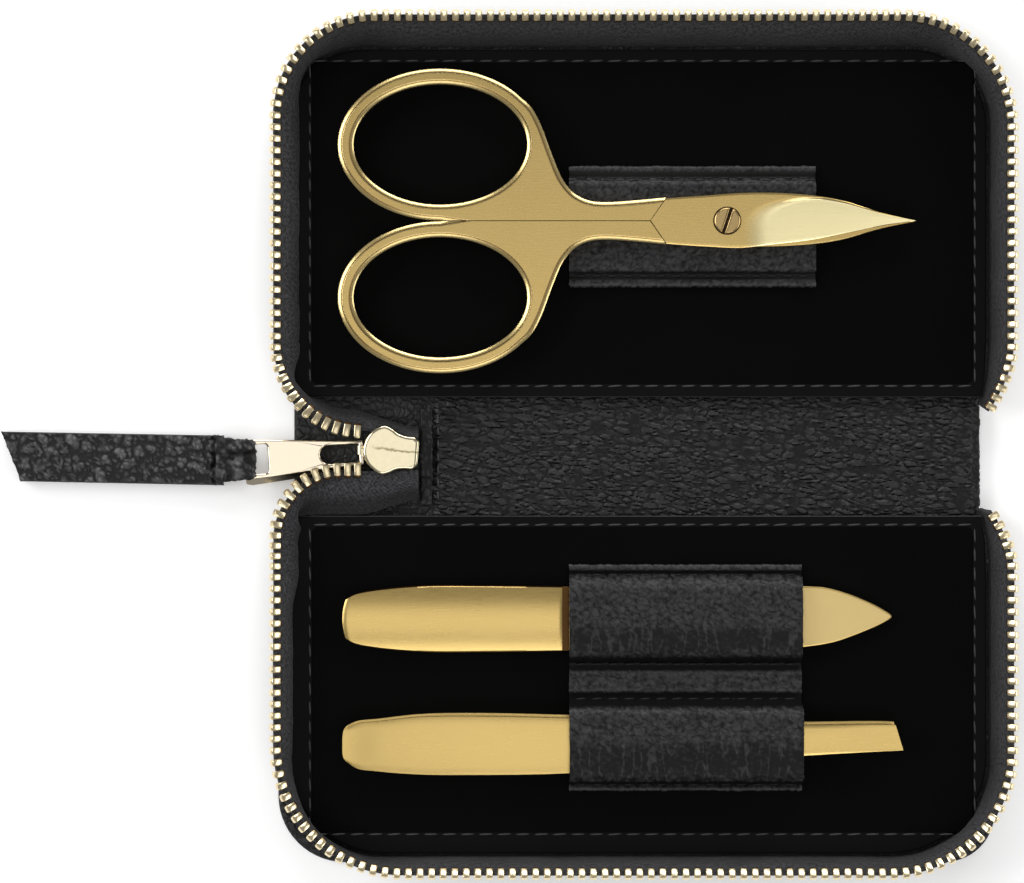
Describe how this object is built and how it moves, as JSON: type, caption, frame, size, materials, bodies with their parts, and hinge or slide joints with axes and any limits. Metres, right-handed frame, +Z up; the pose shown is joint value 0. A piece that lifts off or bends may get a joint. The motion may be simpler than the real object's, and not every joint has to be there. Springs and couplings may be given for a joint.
{
  "type": "manicure set case",
  "caption": "Slim leather zip case that opens flat like a book, with nail scissors, a nail file and tweezers held on its lining.",
  "frame": {"origin": "middle of the spine's underside, on the table", "axes": "+X along the spine, away from the zip slider; +Y across the spine towards the half with the scissors; +Z up"},
  "size_m": [0.1592, 0.1352, 0.0092],
  "materials": {
    "outer_leather": "coarse pebble grain",
    "tag_leather": "coarse pebble grain",
    "strap_leather": "fine grain, satin",
    "lining": "smooth, satin",
    "board": "matt paper board",
    "zip_tape": "woven",
    "zip_metal": "polished pale gold",
    "slider_metal": "polished pale gold",
    "tool_gold": "brushed pale gold",
    "file_gold": "fine etched pale gold"
  },
  "bodies": {
    "lower_half": {"cover_lower": "outer_leather", "board_lower": "board", "lining_lower": "lining", "zip_tape_lower": "zip_tape", "zip_teeth_lower": "zip_metal", "tool_loops": "strap_leather"},
    "spine": {"cover_spine": "outer_leather", "board_spine": "board", "lining_spine": "outer_leather", "zip_end_tab": "outer_leather", "zip_bottom_stop": "zip_metal", "zip_top_stops": "zip_metal", "tape_tail_lower": "zip_tape", "teeth_tail_lower": "zip_metal", "tape_tail_upper": "zip_tape", "teeth_tail_upper": "zip_metal"},
    "upper_half": {"cover_upper": "outer_leather", "board_upper": "board", "lining_upper": "lining", "zip_tape_upper": "zip_tape", "zip_teeth_upper": "zip_metal", "scissors_strap": "strap_leather"},
    "slider": {"slider_body": "slider_metal"},
    "pull": {"slider_pull": "slider_metal"},
    "tag": {"pull_tag": "tag_leather"},
    "scissors": {"scissors_half_upper": "tool_gold", "scissors_screw": "tool_gold"},
    "scissors_swing": {"scissors_half_lower": "tool_gold"},
    "file": {"file_handle": "tool_gold", "file_blade": "file_gold"},
    "tweezers": {"tweezers_lower_arm": "tool_gold"},
    "tweezers_arm": {"tweezers_upper_arm": "tool_gold"}
  },
  "joints": [
    {"name": "spine_fold", "type": "hinge", "parent": "lower_half", "child": "spine", "pos_m": [0, -0.0081, 0.0012], "axis": [1, 0, 0], "range_deg": [0, 90], "deforming": ["tape_tail_lower", "teeth_tail_lower"]},
    {"name": "cover_fold", "type": "hinge", "parent": "spine", "child": "upper_half", "pos_m": [0, 0.0081, 0.0012], "axis": [1, 0, 0], "range_deg": [0, 90], "deforming": ["tape_tail_upper", "teeth_tail_upper"]},
    {"name": "slider_slide", "type": "slide", "parent": "spine", "child": "slider", "axis": [-1, 0, 0], "range_m": [0, 0.01]},
    {"name": "pull_swing", "type": "hinge", "parent": "slider", "child": "pull", "pos_m": [-0.04335, 0.0006, 0.002], "axis": [0, -1, 0], "range_deg": [-60, 0]},
    {"name": "tag_swing", "type": "hinge", "parent": "pull", "child": "tag", "pos_m": [-0.06135, 0, 0.002], "axis": [0, -1, 0], "range_deg": [-70, 0]},
    {"name": "scissors_lift", "type": "slide", "parent": "upper_half", "child": "scissors", "axis": [0, 0, -1], "range_m": [-0.03, 0]},
    {"name": "scissors_open", "type": "hinge", "parent": "scissors", "child": "scissors_swing", "pos_m": [0.01385, 0.0367, 0.0047], "axis": [0, 0, -1], "range_deg": [-30, 0]},
    {"name": "file_slide", "type": "slide", "parent": "lower_half", "child": "file", "axis": [1, 0, 0], "range_m": [-0.008, 0]},
    {"name": "tweezers_slide", "type": "slide", "parent": "lower_half", "child": "tweezers", "axis": [1, 0, 0], "range_m": [-0.008, 0]},
    {"name": "tweezers_squeeze", "type": "hinge", "parent": "tweezers", "child": "tweezers_arm", "pos_m": [-0.0451, -0.0448, 0.005], "axis": [0, 1, 0], "range_deg": [0, 1.3], "stiffness_Nm_per_rad": 0.6}
  ]
}
